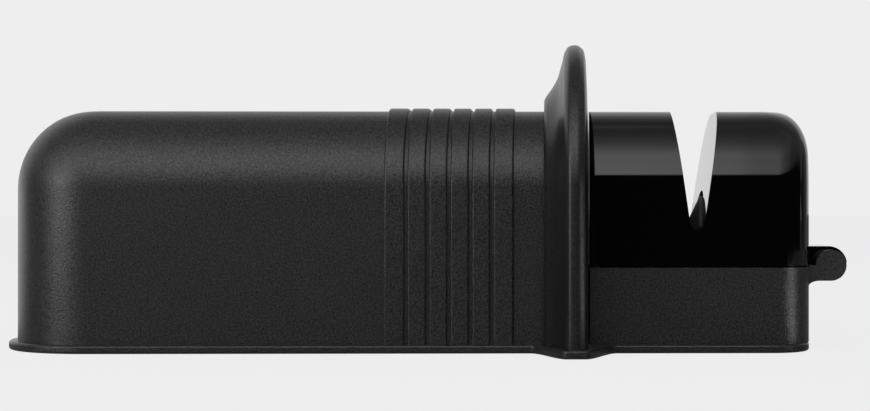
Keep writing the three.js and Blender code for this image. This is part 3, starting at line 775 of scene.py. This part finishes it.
def wheel_axle():
    half = [
        (GROOVE_START, AXLE_RADIUS),
        (GROOVE_START, AXLE_RADIUS - GROOVE_DEPTH),
        (GROOVE_END, AXLE_RADIUS - GROOVE_DEPTH),
        (GROOVE_END, AXLE_RADIUS),
        (AXLE_END, AXLE_RADIUS),
    ]
    other_half = [(-along, radius) for along, radius in reversed(half)]
    return turned_x([(-AXLE_END, 0), *other_half, *half, (AXLE_END, 0)])


def axle_clip(side):
    start = GROOVE_START + PART_CLEARANCE
    bore = AXLE_RADIUS - GROOVE_DEPTH + PIN_CLEARANCE
    mouth = block(
        (-AXLE_END, -CLIP_MOUTH_HALF_WIDTH, 0),
        (AXLE_END, CLIP_MOUTH_HALF_WIDTH, CLIP_RADIUS + OVERRUN),
    )
    return cut(ring_x(side * start, side * CLIP_THICKNESS, bore, CLIP_RADIUS), mouth)


def wheel_carrier():
    bottom = DECK_TOP - AXLE_HEIGHT
    base = block(
        (-CARRIER_HALF_LENGTH, -CARRIER_HALF_WIDTH, bottom),
        (CARRIER_HALF_LENGTH, CARRIER_HALF_WIDTH, bottom + CARRIER_BASE_THICKNESS),
    )
    arch = arc(0, 0, CHEEK_HALF_WIDTH, [math.pi * i / CIRCLE_STEPS for i in range(CIRCLE_STEPS + 1)])
    outline = [*arch, (-CHEEK_HALF_WIDTH, bottom + OVERRUN), (CHEEK_HALF_WIDTH, bottom + OVERRUN)]
    cheeks = []
    for side in (-1, 1):
        ends = sorted((side * CHEEK_START, side * CHEEK_END))
        cheeks.append(loft([[(x, y, z) for y, z in outline] for x in ends]))
    hole_places = [(side * CARRIER_SCREW_OFFSET, 0) for side in (-1, 1)]
    holes = posts_z(SMALL_HOLE_RADIUS, hole_places, bottom - OVERRUN, 0)
    return cut(join(base, *cheeks), bar_x(AXLE_END, AXLE_BORE), *holes)


def cross_recess(x, y, radius, start, end):
    """Two crossed slots in a screw head, for the driver."""
    half_width = radius * DRIVE_WIDTH_SHARE
    reach = radius * DRIVE_LENGTH_SHARE
    return [
        block((x - reach, y - half_width, start), (x + reach, y + half_width, end)),
        block((x - half_width, y - reach, start), (x + half_width, y + reach, end)),
    ]


def base_screw(place_xy, tip):
    x, y = place_xy
    head = post_z(SCREW_HEAD_RADIUS, x, y, SCREW_RECESS, SCREW_SEAT)
    shank = post_z(SCREW_RADIUS, x, y, SCREW_SEAT - SCREW_HEAD_HEIGHT / 2, tip)
    drive = cross_recess(x, y, SCREW_HEAD_RADIUS, -OVERRUN, SCREW_RECESS + DRIVE_DEPTH)
    return cut(join(head, shank), *drive)


def carrier_screw(side):
    x = side * CARRIER_SCREW_OFFSET
    seat = SMALL_SCREW_SEAT - AXLE_HEIGHT
    top = seat + SMALL_SCREW_HEAD_HEIGHT
    head = post_z(SMALL_SCREW_HEAD_RADIUS, x, 0, seat, top)
    tip = SMALL_SCREW_TIP - AXLE_HEIGHT
    shank = post_z(SMALL_SCREW_RADIUS, x, 0, tip, top - SMALL_SCREW_HEAD_HEIGHT / 2)
    drive = cross_recess(x, 0, SMALL_SCREW_HEAD_RADIUS, top - DRIVE_DEPTH, top + OVERRUN)
    return cut(join(head, shank), *drive)


# Materials: sizes and depths in millimetres, colours as linear red, green and blue

REFRACTION = 1.5
GRAIN_SIZE = 0.34
SPECK_SIZE = 0.42
ABRASIVE_GRAIN_SIZE = 0.22
BASE_COLOUR = "Base Color"
ROUGHNESS = "Roughness"
SHINE = "Specular IOR Level"


def surface(name, colour, roughness, metallic=0):
    """A named material with its shader and its object coordinates."""
    material = bpy.data.materials.new(name + "_finish")
    material.use_nodes = True
    nodes = material.node_tree.nodes
    shader = nodes["Principled BSDF"]
    shader.inputs[BASE_COLOUR].default_value = (*colour, 1)
    shader.inputs[ROUGHNESS].default_value = roughness
    shader.inputs["Metallic"].default_value = metallic
    shader.inputs["IOR"].default_value = REFRACTION
    coordinates = nodes.new("ShaderNodeTexCoord")
    return material, shader, coordinates.outputs["Object"]


def noise(material, place_socket, size, detail, stretch=None):
    """Noise whose features are about the given size in millimetres."""
    tree = material.node_tree
    if stretch:
        mapping = tree.nodes.new("ShaderNodeMapping")
        mapping.inputs["Scale"].default_value = stretch
        tree.links.new(place_socket, mapping.inputs["Vector"])
        place_socket = mapping.outputs["Vector"]
    texture = tree.nodes.new("ShaderNodeTexNoise")
    texture.inputs["Scale"].default_value = 1 / (size * MM)
    texture.inputs["Detail"].default_value = detail
    tree.links.new(place_socket, texture.inputs["Vector"])
    return texture.outputs["Fac"]


def spread(material, source, low, high, from_low=0.3, from_high=0.7):
    """A value socket brought from one range to another."""
    node = material.node_tree.nodes.new("ShaderNodeMapRange")
    node.inputs["From Min"].default_value = from_low
    node.inputs["From Max"].default_value = from_high
    node.inputs["To Min"].default_value = low
    node.inputs["To Max"].default_value = high
    material.node_tree.links.new(source, node.inputs["Value"])
    return node.outputs["Result"]


def vary(material, shader, name, source, low, high):
    """Lets one input of the shader wander between two values."""
    material.node_tree.links.new(spread(material, source, low, high), shader.inputs[name])


def tint(material, shader, source, dark, light):
    """Base colour that wanders from dark, where the source is 0, to light, where it is 1."""
    tree = material.node_tree
    mix = tree.nodes.new("ShaderNodeMix")
    mix.data_type = "RGBA"
    mix.inputs["A"].default_value = (*dark, 1)
    mix.inputs["B"].default_value = (*light, 1)
    tree.links.new(source, mix.inputs["Factor"])
    tree.links.new(mix.outputs["Result"], shader.inputs[BASE_COLOUR])


def relief(material, shader, layers):
    """Bumps laid over each other, each as a height source and its depth in millimetres."""
    tree = material.node_tree
    below = None
    for source, depth in layers:
        bump = tree.nodes.new("ShaderNodeBump")
        bump.inputs["Strength"].default_value = 1
        bump.inputs["Distance"].default_value = depth * MM
        tree.links.new(source, bump.inputs["Height"])
        if below:
            tree.links.new(below, bump.inputs["Normal"])
        below = bump.outputs["Normal"]
    tree.links.new(below, shader.inputs["Normal"])


def textured_plastic():
    """Spark-textured moulded plastic: fine grain in relief, with specks that catch more of the light."""
    material, shader, at = surface("textured_plastic", (0.0145, 0.0145, 0.0148), roughness=0.35)
    grain = noise(material, at, GRAIN_SIZE, detail=1)
    specks = noise(material, at, SPECK_SIZE, detail=1)
    patches = noise(material, at, size=14, detail=2)
    shade = spread(material, grain, 0, 1, from_low=0.36, from_high=0.64)
    tint(material, shader, shade, dark=(0.0015, 0.0015, 0.0016), light=(0.0275, 0.0275, 0.028))
    vary(material, shader, SHINE, specks, low=0.41, high=0.59)
    vary(material, shader, ROUGHNESS, patches, low=0.34, high=0.36)
    relief(material, shader, [(grain, 0.04)])
    return material


def satin_plastic():
    """Guard plastic: the same grain as on the handle but fainter, and smoother. Its colour is darker than
    the handle's as painted shade for the shaded collar beside the handle.
    """
    material, shader, at = surface("satin_plastic", (0.007, 0.007, 0.0072), roughness=0.32)
    grain = noise(material, at, GRAIN_SIZE, detail=1)
    specks = noise(material, at, SPECK_SIZE, detail=1)
    patches = noise(material, at, size=9, detail=2)
    shade = spread(material, grain, 0, 1)
    # These colours are darker than the handle's: painted shade for the guard's shaded collar
    tint(material, shader, shade, dark=(0.0025, 0.0025, 0.0026), light=(0.0115, 0.0115, 0.0118))
    vary(material, shader, SHINE, specks, low=0.38, high=0.66)
    vary(material, shader, ROUGHNESS, patches, low=0.31, high=0.33)
    relief(material, shader, [(grain, 0.03)])
    return material


def gloss_plastic():
    """Polished lid: deep black with a trace of flow lines and fine handling marks."""
    material, shader, at = surface("gloss_plastic", (0.0008, 0.0008, 0.0009), roughness=0.04)
    marks = noise(material, at, size=6, detail=4)
    waves = noise(material, at, size=22, detail=1)
    vary(material, shader, ROUGHNESS, marks, low=0.03, high=0.055)
    relief(material, shader, [(waves, 0.01)])
    return material


def nylon():
    """The carrier's dull plastic with a faintly mottled skin."""
    material, shader, at = surface("nylon", (0.022, 0.023, 0.024), roughness=0.5)
    skin = noise(material, at, size=0.6, detail=3)
    shade = spread(material, skin, 0, 1)
    tint(material, shader, shade, dark=(0.018, 0.019, 0.02), light=(0.027, 0.028, 0.029))
    relief(material, shader, [(skin, 0.012)])
    return material


def ceramic():
    """Fired abrasive: open grain with darker binder between the grains."""
    material, shader, at = surface("ceramic", (0.03, 0.03, 0.031), roughness=0.6)
    cells = material.node_tree.nodes.new("ShaderNodeTexVoronoi")
    cells.inputs["Scale"].default_value = 1 / (ABRASIVE_GRAIN_SIZE * MM)
    material.node_tree.links.new(at, cells.inputs["Vector"])
    grain = cells.outputs["Distance"]
    fine = noise(material, at, size=0.12, detail=2)
    shade = spread(material, grain, 1, 0, from_low=0, from_high=0.7)
    tint(material, shader, shade, dark=(0.04, 0.04, 0.042), light=(0.09, 0.09, 0.092))
    relief(material, shader, [(grain, 0.02), (fine, 0.012)])
    return material


def steel():
    """Turned steel: fine tool marks and slight dulling."""
    material, shader, at = surface("steel", (0.55, 0.55, 0.56), roughness=0.28, metallic=1)
    marks = noise(material, at, size=0.2, detail=2, stretch=(1, 0.08, 1))
    dull = noise(material, at, size=2.5, detail=3)
    tint(material, shader, spread(material, dull, 0, 1), dark=(0.48, 0.48, 0.49), light=(0.6, 0.6, 0.61))
    vary(material, shader, ROUGHNESS, dull, low=0.22, high=0.36)
    relief(material, shader, [(marks, 0.003)])
    return material


# The object

def build_object():
    finishes = {
        make.__name__: make()
        for make in (textured_plastic, satin_plastic, gloss_plastic, nylon, ceramic, steel)
    }

    def put(made, node, finish, **where):
        place(made, node, finish, finishes[finish], **where)

    put(handle_shell(), "handle_shell", "textured_plastic")
    # The guard's plastic is darkened with painted shade for the shade in its collar
    put(bevel(hand_guard(), GUARD_EDGE), "hand_guard", "satin_plastic")
    put(base_plate(), "base_plate", "textured_plastic")
    put(bevel(head_base(), HEAD_EDGE), "head_base", "textured_plastic")
    put(bevel(head_cover(), LID_EDGE), "head_cover", "gloss_plastic")
    put(bevel(hinge_pin(), PIN_EDGE), "hinge_pin", "steel")
    for name, screw_place in zip(BASE_SCREW_NAMES, BASE_SCREW_PLACES):
        tip = HEAD_SCREW_TIP if screw_place in HEAD_SCREW_PLACES else SCREW_TIP
        put(bevel(base_screw(screw_place, tip), SMALL_EDGE), name, "steel")
    running = {"turn": AXLE_SKEW, "centre": WHEEL_CENTRE}
    put(bevel(wheel_carrier(), CARRIER_EDGE), "wheel_carrier", "nylon", **running)
    put(bevel(wheel_axle(), SMALL_EDGE), "wheel_axle", "steel", **running)
    for side, word in ((-1, "left"), (1, "right")):
        washer = ring_x(side * WASHER_START, side * WASHER_THICKNESS, AXLE_BORE, WASHER_RADIUS)
        put(grinding_wheel(side), "wheel_" + word, "ceramic", **running)
        put(bevel(washer, SMALL_EDGE), "spacer_washer_" + word, "steel", **running)
        put(bevel(axle_clip(side), SMALL_EDGE), "axle_clip_" + word, "steel", **running)
        put(bevel(carrier_screw(side), SMALL_EDGE), "carrier_screw_" + word, "steel", **running)


# Stage, light and camera

# The background's grey, seen directly and in reflections, and the faint light that it sheds
BACKGROUND = 0.855
AMBIENT = 0.3

# The floor's colour under the lights, its even glow with the share of it, and its grey in reflections
FLOOR_COLOUR = 0.8
FLOOR_EVEN = 0.885
FLOOR_EVEN_SHARE = 0.92
FLOOR_REFLECTED = 0.18

# The floor runs from just behind the camera to far behind the part, in metres
FLOOR_HALF_WIDTH = 3
FLOOR_FRONT = -0.31
FLOOR_BACK = 4
FLOOR_HEIGHT = -0.0001

# The one face of a sheet with four corners
QUAD = [(0, 1, 2, 3)]


def empty_tree(owner):
    owner.use_nodes = True
    owner.node_tree.nodes.clear()
    return owner.node_tree


def seen_rays(tree):
    """A value that is 1 for what the camera sees directly or through glass, and one for reflections."""
    path = tree.nodes.new("ShaderNodeLightPath")
    add = tree.nodes.new("ShaderNodeMath")
    add.operation = "ADD"
    add.use_clamp = True
    tree.links.new(path.outputs["Is Camera Ray"], add.inputs[0])
    tree.links.new(path.outputs["Is Transmission Ray"], add.inputs[1])
    return add.outputs[0], path.outputs["Is Glossy Ray"]


def mixed(tree, share, first, second):
    """The first shader where the share is 0 and the second where it is 1."""
    mix = tree.nodes.new("ShaderNodeMixShader")
    tree.links.new(share, mix.inputs["Fac"])
    tree.links.new(first, mix.inputs[1])
    tree.links.new(second, mix.inputs[2])
    return mix.outputs[0]


def grey(tree, kind, level):
    """An emission, background or diffuse shader of one grey level."""
    shader = tree.nodes.new(kind)
    shader.inputs["Color"].default_value = (level, level, level, 1)
    return shader.outputs[0]


def world():
    made = bpy.data.worlds.new("studio")
    tree = empty_tree(made)
    direct, reflected = seen_rays(tree)
    output = tree.nodes.new("ShaderNodeOutputWorld")
    ambient = grey(tree, "ShaderNodeBackground", AMBIENT)
    pale = grey(tree, "ShaderNodeBackground", BACKGROUND)
    unseen = mixed(tree, reflected, ambient, pale)
    tree.links.new(mixed(tree, direct, unseen, pale), output.inputs["Surface"])
    bpy.context.scene.world = made


def linked(name, points, faces, material):
    """A mesh object of one material, in metres, in the scene."""
    mesh = bpy.data.meshes.new(name)
    mesh.from_pydata(points, [], faces)
    mesh.materials.append(material)
    made = bpy.data.objects.new(name, mesh)
    bpy.context.scene.collection.objects.link(made)
    return made


def floor():
    """Pale floor: what the camera sees is mostly an even glow, and the rest of it takes shadow."""
    material = bpy.data.materials.new("floor")
    tree = empty_tree(material)
    direct, reflected = seen_rays(tree)
    lit = grey(tree, "ShaderNodeBsdfDiffuse", FLOOR_COLOUR)
    share = tree.nodes.new("ShaderNodeMath")
    share.operation = "MULTIPLY"
    share.inputs[1].default_value = FLOOR_EVEN_SHARE
    tree.links.new(direct, share.inputs[0])
    output = tree.nodes.new("ShaderNodeOutputMaterial")
    unseen = mixed(tree, reflected, lit, grey(tree, "ShaderNodeEmission", FLOOR_REFLECTED))
    seen = mixed(tree, share.outputs[0], unseen, grey(tree, "ShaderNodeEmission", FLOOR_EVEN))
    tree.links.new(seen, output.inputs["Surface"])
    corners = [
        (-FLOOR_HALF_WIDTH, FLOOR_FRONT, FLOOR_HEIGHT),
        (FLOOR_HALF_WIDTH, FLOOR_FRONT, FLOOR_HEIGHT),
        (FLOOR_HALF_WIDTH, FLOOR_BACK, FLOOR_HEIGHT),
        (-FLOOR_HALF_WIDTH, FLOOR_BACK, FLOOR_HEIGHT),
    ]
    linked("floor", corners, QUAD, material)


def glowing(name):
    """A light material whose strength is stored at the points of its sheet."""
    material = bpy.data.materials.new(name)
    tree = empty_tree(material)
    strength = tree.nodes.new("ShaderNodeAttribute")
    strength.attribute_name = "strength"
    emission = tree.nodes.new("ShaderNodeEmission")
    output = tree.nodes.new("ShaderNodeOutputMaterial")
    tree.links.new(strength.outputs["Fac"], emission.inputs["Strength"])
    tree.links.new(emission.outputs[0], output.inputs["Surface"])
    return material


def light_sheet(name, points, faces, strengths, spills=True):
    """A lit sheet that the camera doesn't see. One that doesn't spill is only there for reflections."""
    made = linked(name, points, faces, glowing(name))
    layer = made.data.attributes.new("strength", "FLOAT", "POINT")
    layer.data.foreach_set("value", strengths)
    made.visible_camera = False
    made.visible_diffuse = spills
    made.visible_shadow = spills


def between(value, stops):
    """The value read off a curve of (place, value) stops with straight lines between them."""
    if value <= stops[0][0]:
        return stops[0][1]
    for (low, start), (high, end) in zip(stops, stops[1:]):
        if value <= high:
            return start + (end - start) * (value - low) / (high - low)
    return stops[-1][1]


# The studio shell is a globe of light in metres. A turn goes round the X axis in degrees, from level
# in front (0) over the zenith to level at the back (180), and a swing goes from the globe's middle
# towards the nose (minus) or the head (plus).
ZENITH = 90
SHELL_RADIUS = 0.75
SHELL_CENTRE_Z = 0.04
SHELL_DARK = 0.015
SHELL_BACK = 135
SHELL_EDGE = 89.9
# Strength by the turn, in the middle and at the sides
SHELL_PROFILE = [
    (-40, SHELL_DARK), (13.3, SHELL_DARK), (14.6, 2), (17, 2.17), (30, 2), (35, 2.03), (38, 1.92),
    (42, 1.62), (45, 1.38), (48, 1.15), (51, 0.95), (55, 0.74), (60, 0.59), (65, 0.46), (70, 0.38),
    (75, 0.33), (79, 0.34), (82, 0.42), (84, 0.48), (86, 0.46), (88, 0.35), (91, 0.28), (98, 0.25),
    (103, 0.32), (107, 0.37), (114, 0.52), (119, 0.63), (123, 0.75), (129, 0.86), (SHELL_BACK, 0.86),
]
SIDE_PROFILE = [(-40, SHELL_DARK), (13, SHELL_DARK), (20, 0.3), (SHELL_BACK, 0.3)]
# Share of the middle's strength by the swing
SHELL_SPAN = [
    (-SHELL_EDGE, 0), (-70, 0), (-62, 1), (5.9, 1), (8.2, 0.95), (10.7, 0.9), (11.9, 0.85), (12.4, 0.67),
    (19, 0.5), (25, 0.37), (31, 0.265), (37.5, 0.195), (44, 0.135), (50, 0.04), (64, 0), (SHELL_EDGE, 0),
]
# Bright panel low on the nose's side: its share by the swing and its strength by the turn
PANEL_SPAN = [(-65, 0), (-60, 1), (-44, 1), (-38, 0)]
PANEL_PROFILE = [(-4, 0), (-2, 5.5), (15, 5.5), (18, 0)]
# Behind the part the shell stands only at its two ends, with a strength by the swing
WING_LEFT = -70
WING_RIGHT = 54
WING_SPAN = [
    (-SHELL_EDGE, SHELL_DARK), (WING_LEFT, SHELL_DARK), (WING_RIGHT, 0.32), (70, 0.15), (80, 0.07),
    (SHELL_EDGE, 0.03),
]
# Where the shell has points besides the stops of these curves
SWING_GRID = range(-80, 81, 10)
TURN_GRID = range(-30, 201, 10)
FINE_TURNS = range(13, 60)


def shell_strength(swing, turn):
    """On the head's side in front, the strength goes by the height above the horizon, not by the turn."""
    if turn > SHELL_BACK:
        return between(swing, WING_SPAN)
    main = between(swing, SHELL_SPAN)
    height = turn
    if swing > 0 and turn < ZENITH:
        height = math.degrees(math.asin(math.sin(math.radians(turn)) * math.cos(math.radians(swing))))
    strength = main * between(height, SHELL_PROFILE) + (1 - main) * between(height, SIDE_PROFILE)
    return max(strength, between(swing, PANEL_SPAN) * between(turn, PANEL_PROFILE))


def studio_shell():
    """The shell round the front, sides and top, open at the back where the pale background is."""
    swing_stops = {stop[0] for stop in SHELL_SPAN + PANEL_SPAN}
    turn_stops = {stop[0] for stop in SHELL_PROFILE + SIDE_PROFILE + PANEL_PROFILE}
    swings = sorted({*swing_stops, *SWING_GRID, WING_LEFT, WING_RIGHT})
    turns = sorted({*turn_stops, *TURN_GRID, *FINE_TURNS})
    points = []
    strengths = []
    for swing in swings:
        for turn in turns:
            reach = SHELL_RADIUS * math.cos(math.radians(swing))
            points.append((
                SHELL_RADIUS * math.sin(math.radians(swing)),
                -reach * math.cos(math.radians(turn)),
                SHELL_CENTRE_Z + reach * math.sin(math.radians(turn)),
            ))
            strengths.append(shell_strength(swing, turn))
    count = len(turns)
    faces = []
    for column, (swing, after) in enumerate(zip(swings, swings[1:])):
        winged = after <= WING_LEFT or swing >= WING_RIGHT
        for i, turn in enumerate(turns[:-1]):
            if turn < SHELL_BACK or winged:
                low = column * count + i
                faces.append((low, low + 1, low + count + 1, low + count))
    light_sheet("studio_shell", points, faces, strengths)


# Bright patches of table beside the head and behind the nose: corners in metres, and strength
GLOW_HEIGHT = 0.0002
TABLE_GLOWS = {
    "head_glow": ([(0.0826, -0.0264), (0.2855, -0.2889), (0.3849, -0.1676), (0.0877, -0.0201)], 4.5),
    "nose_glow": ([(-0.717, 0.219), (-0.281, 0.695), (-0.1, 0.05), (-0.12, 0.02)], 0.95),
}
# Bright strips behind the nose and behind the slot: the two swings between which each stands at the
# shell's distance, its lower and upper edge in metres, and strength
STRIPS = {
    "nose_strip": (-73, -22, 0.001, 0.09, 1.28),
    "slot_strip": (-2.6, 0.6, 0.05, 0.12, 1.07),
}


def lights():
    studio_shell()
    for name, (corners, strength) in TABLE_GLOWS.items():
        points = at_height(corners, GLOW_HEIGHT)
        light_sheet(name, points, QUAD, [strength] * len(points), spills=False)
    for name, (left, right, bottom, top, strength) in STRIPS.items():
        (x, y), (far_x, far_y) = (
            (SHELL_RADIUS * math.sin(math.radians(swing)), SHELL_RADIUS * math.cos(math.radians(swing)))
            for swing in (left, right)
        )
        points = [(x, y, bottom), (far_x, far_y, bottom), (far_x, far_y, top), (x, y, top)]
        light_sheet(name, points, QUAD, [strength] * len(points), spills=False)


# The camera looks level through a pivot in the guard, at the depth of the body's front face, and is
# turned a little towards the head
CAMERA_DISTANCE = 292.5
CAMERA_HEIGHT = 28.8
CAMERA_TURN = math.radians(0.86)
PIVOT_X = -2.24
PIVOT_Y = -BODY_HALF_WIDTH
FOCAL_PIXELS = 1500
FRAME_WIDTH_PIXELS = 870
OPTICAL_CENTRE_PIXELS = 577
SENSOR_WIDTH = 36
NEAR_LIMIT = 10


def camera():
    data = bpy.data.cameras.new("camera")
    data.sensor_width = SENSOR_WIDTH
    data.lens = FOCAL_PIXELS / FRAME_WIDTH_PIXELS * SENSOR_WIDTH
    data.shift_x = (FRAME_WIDTH_PIXELS / 2 - OPTICAL_CENTRE_PIXELS) / FRAME_WIDTH_PIXELS
    data.clip_start = NEAR_LIMIT * MM
    made = bpy.data.objects.new("camera", data)
    bpy.context.scene.collection.objects.link(made)
    x = PIVOT_X - CAMERA_DISTANCE * math.sin(CAMERA_TURN) + GUARD_FACE_X
    y = PIVOT_Y - CAMERA_DISTANCE * math.cos(CAMERA_TURN)
    made.location = (x * MM, y * MM, CAMERA_HEIGHT * MM)
    made.rotation_euler = (math.pi / 2, 0, -CAMERA_TURN)
    bpy.context.scene.camera = made


camera()
world()
floor()
lights()
build_object()
bpy.context.scene.view_settings.view_transform = "Standard"
